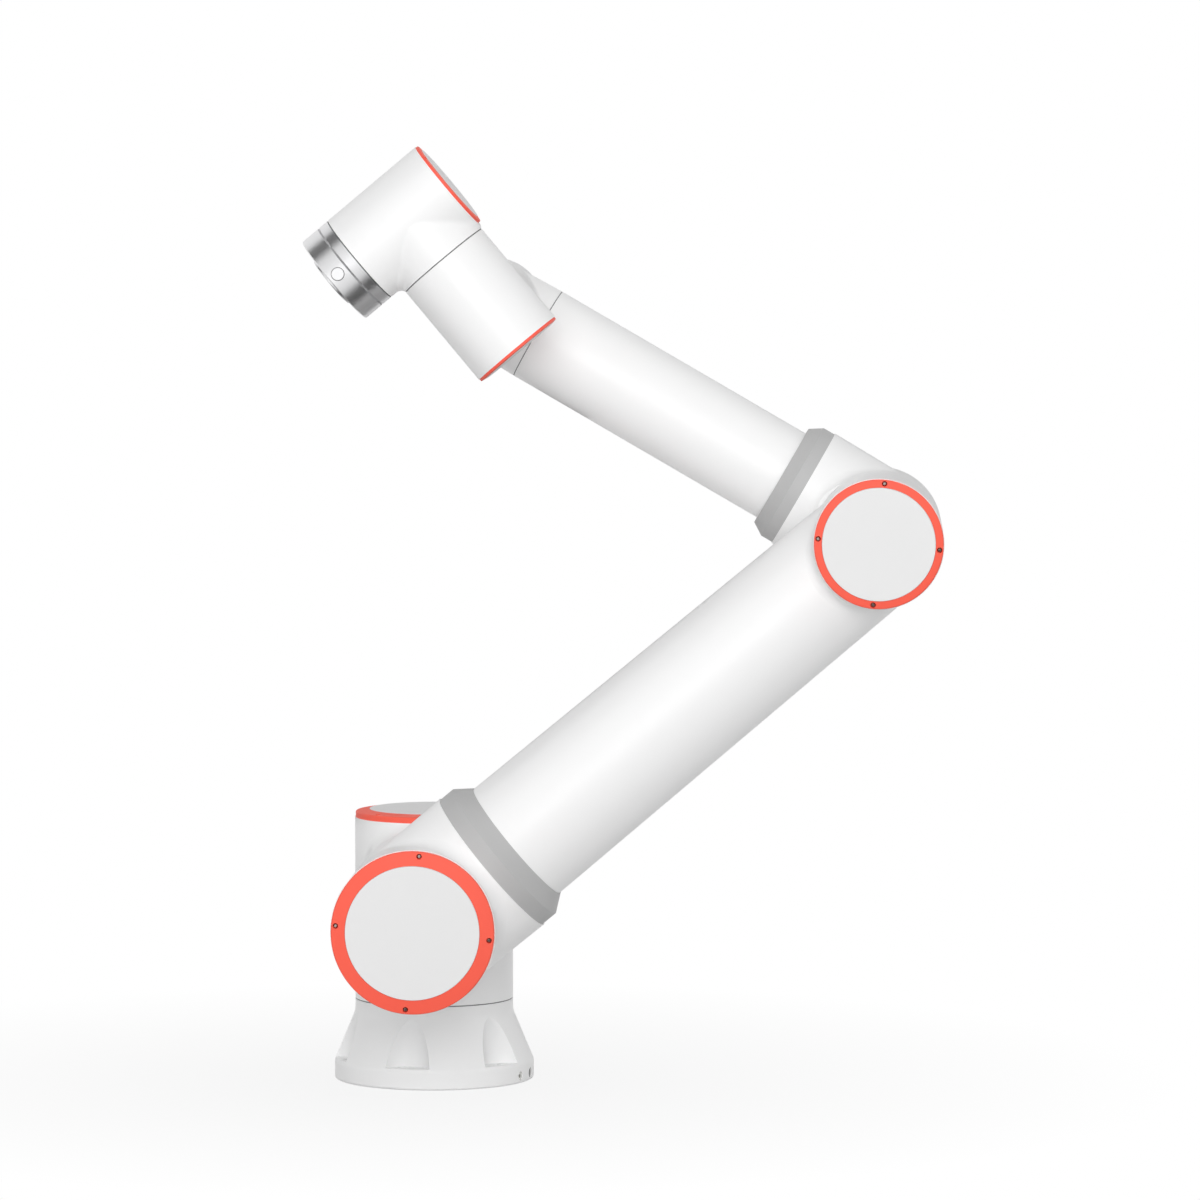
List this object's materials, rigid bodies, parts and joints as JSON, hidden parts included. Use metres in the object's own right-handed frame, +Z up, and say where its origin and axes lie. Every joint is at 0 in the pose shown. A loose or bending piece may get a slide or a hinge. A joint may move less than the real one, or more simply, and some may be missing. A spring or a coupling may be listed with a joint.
{
  "type": "six-axis collaborative robot arm",
  "caption": "Floor-bolted jointed robot arm with round white castings, coloured trim rings, clamp collars on both arm tubes and a metal tool flange.",
  "frame": {"origin": "centre of the base's flat underside, on the first joint axis", "axes": "+Z up along the first joint axis, +X towards the elbow in the stored pose, -Y the side on which the upper arm stands off the column"},
  "size_m": [0.7457, 0.4678, 1.1177],
  "materials": {
    "casting": "satin white paint",
    "trim_ring": "satin coral",
    "cover": "matt light grey",
    "collar": "matt mid grey",
    "seal": "matt",
    "flange": "turned",
    "port": "satin",
    "socket": "matt black",
    "screw": "zinc plated"
  },
  "bodies": {
    "base": {"base_casting": "casting", "base_socket": "socket", "base_earth_screw": "screw", "base_joint_seal": "seal"},
    "shoulder": {"shoulder_housing": "casting", "shoulder_cap_ring": "trim_ring", "shoulder_cap_cover": "cover", "shoulder_joint_seal": "seal"},
    "upper_arm": {"upper_arm_root": "casting", "upper_arm_cap_ring": "trim_ring", "upper_arm_cap_cover": "cover", "upper_arm_collar": "collar", "upper_arm_tube": "casting", "elbow_cap_ring": "trim_ring", "elbow_cap_cover": "cover", "elbow_joint_seal": "seal"},
    "forearm": {"forearm_root": "casting", "forearm_collar": "collar", "forearm_tube": "casting", "forearm_end": "casting", "forearm_end_cap_ring": "trim_ring", "forearm_end_cap_cover": "cover", "wrist_1_joint_seal": "seal"},
    "wrist_1": {"wrist_1_housing": "casting", "wrist_1_cap_ring": "trim_ring", "wrist_1_cap_cover": "cover", "wrist_2_joint_seal": "seal"},
    "wrist_2": {"wrist_2_housing": "casting", "wrist_2_cap_ring": "trim_ring", "wrist_2_cap_cover": "cover", "wrist_3_joint_seal": "seal"},
    "tool_flange": {"flange_rear_band": "flange", "flange_front_band": "flange", "flange_port": "port"}
  },
  "joints": [
    {"name": "j1_base_turn", "type": "hinge", "parent": "base", "child": "shoulder", "pos_m": [0, 0, 0.098], "axis": [0, 0, 1], "range_deg": [-175, 175]},
    {"name": "j2_shoulder", "type": "hinge", "parent": "shoulder", "child": "upper_arm", "pos_m": [0, -0.114, 0.215], "axis": [0, -1, 0], "range_deg": [-125, 225.1]},
    {"name": "j3_elbow", "type": "hinge", "parent": "upper_arm", "child": "forearm", "pos_m": [0.53394, -0.137, 0.66224], "axis": [0, 1, 0], "range_deg": [-50.1, 269.9]},
    {"name": "j4_wrist_1", "type": "hinge", "parent": "forearm", "child": "wrist_1", "pos_m": [0.07409, -0.136, 0.92934], "axis": [0, -1, 0], "range_deg": [-155.1, 194.9]},
    {"name": "j5_wrist_2", "type": "hinge", "parent": "wrist_1", "child": "wrist_2", "pos_m": [0.02726, -0.202, 0.98534], "axis": [-0.6414, 0, 0.7672], "range_deg": [-270, 450]},
    {"name": "j6_wrist_3", "type": "hinge", "parent": "wrist_2", "child": "tool_flange", "pos_m": [-0.07106, -0.202, 0.98695], "axis": [-0.7672, 0, -0.6414], "range_deg": [-360, 360]}
  ]
}
